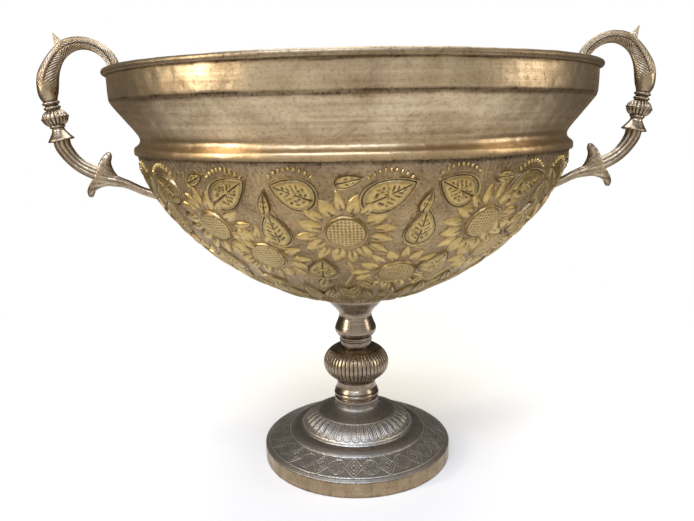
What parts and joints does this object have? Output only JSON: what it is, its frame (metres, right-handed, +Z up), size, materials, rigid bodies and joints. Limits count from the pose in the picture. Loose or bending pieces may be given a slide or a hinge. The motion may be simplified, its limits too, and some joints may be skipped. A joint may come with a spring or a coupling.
{
  "type": "cup trophy",
  "caption": "Large two-handled footed cup with a chased floral bowl, waisted upper wall, rolled rim, turned stem, domed foot and cast scroll handles.",
  "frame": {"origin": "bottom centre of the foot, on the surface that it stands on", "axes": "+Z up along the stem, +X towards the right-hand handle, -Y towards the front"},
  "size_m": [0.5226, 0.399, 0.3788],
  "materials": {
    "bowl_metal": "chased brass, silver plate worn off the raised work",
    "wall_metal": "spun brass under tarnished silver plate",
    "stem_metal": "turned brass, plate worn and tarnished",
    "foot_metal": "spun and engraved brass under dull silver plate",
    "handle_metal": "cast brass under pale silver plate",
    "rivet_brass": "hammered",
    "fixing_steel": "plain turned steel"
  },
  "bodies": {
    "root": {"bowl": "bowl_metal", "upper_wall": "wall_metal", "rim_wire": "fixing_steel", "bowl_boss": "stem_metal", "upper_stem": "stem_metal", "joint_ring": "stem_metal", "main_knop": "stem_metal", "lower_stem": "stem_metal", "foot_collar": "stem_metal", "foot_dome": "foot_metal", "foot_rim": "foot_metal", "tie_rod": "fixing_steel", "bowl_washer": "fixing_steel", "bowl_nut": "fixing_steel", "foot_washer": "fixing_steel", "foot_nut": "fixing_steel", "left_scroll": "handle_metal", "left_ring_collar": "handle_metal", "left_melon_knop": "handle_metal", "left_bell": "handle_metal", "left_arm": "handle_metal", "left_leaf_collar": "handle_metal", "left_stud": "fixing_steel", "left_rim_rivet": "rivet_brass", "left_tail_washer": "fixing_steel", "left_tail_nut": "fixing_steel", "right_scroll": "handle_metal", "right_ring_collar": "handle_metal", "right_melon_knop": "handle_metal", "right_bell": "handle_metal", "right_arm": "handle_metal", "right_leaf_collar": "handle_metal", "right_stud": "fixing_steel", "right_rim_rivet": "rivet_brass", "right_tail_washer": "fixing_steel", "right_tail_nut": "fixing_steel"}
  },
  "joints": []
}
